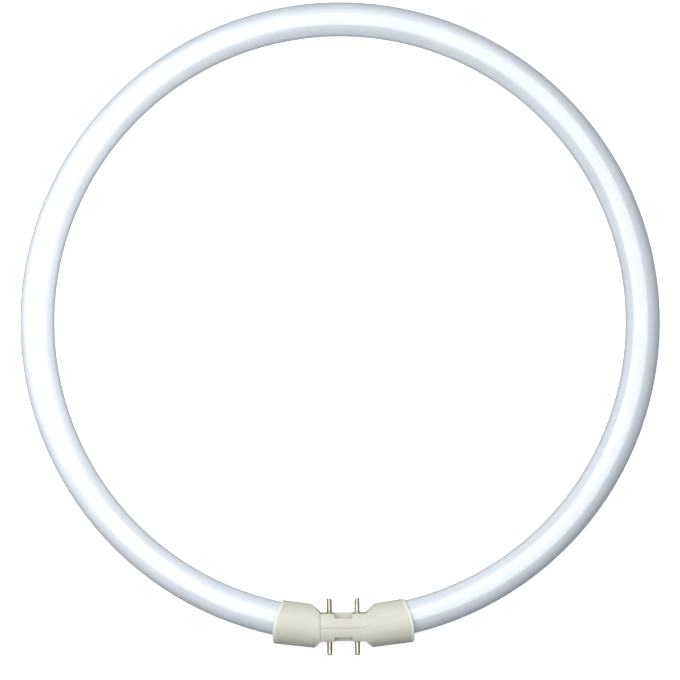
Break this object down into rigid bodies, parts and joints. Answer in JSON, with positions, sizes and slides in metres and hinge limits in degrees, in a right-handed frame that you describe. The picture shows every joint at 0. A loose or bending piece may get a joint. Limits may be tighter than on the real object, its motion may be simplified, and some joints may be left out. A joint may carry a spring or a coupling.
{
  "type": "circular fluorescent tube",
  "caption": "Circular fluorescent tube: a slim white glass ring whose ends meet in a moulded plastic cap with brass contact pins on its inner and outer sides.",
  "frame": {"origin": "centre of the ring, on its axis and half way up the tube", "axes": "+Z along the ring's axis, +Y from the cap towards the far side of the ring, so the cap lies at -Y and its pins point along +Y and -Y"},
  "size_m": [0.3, 0.3062, 0.0208],
  "materials": {
    "coated_glass": "gloss",
    "cap_plastic": "satin",
    "pin_brass": "satin",
    "lead_wire": "satin",
    "cap_cement": "matt"
  },
  "bodies": {
    "root": {"glass_tube": "coated_glass", "cap_inner_shell": "cap_plastic", "cap_outer_shell": "cap_plastic", "cement_ring_left": "cap_cement", "cement_ring_right": "cap_cement", "contact_pin_inner_left": "pin_brass", "contact_pin_inner_right": "pin_brass", "contact_pin_outer_left": "pin_brass", "contact_pin_outer_right": "pin_brass", "lead_wire_inner_left": "lead_wire", "lead_wire_inner_right": "lead_wire", "lead_wire_outer_left": "lead_wire", "lead_wire_outer_right": "lead_wire"}
  },
  "joints": []
}
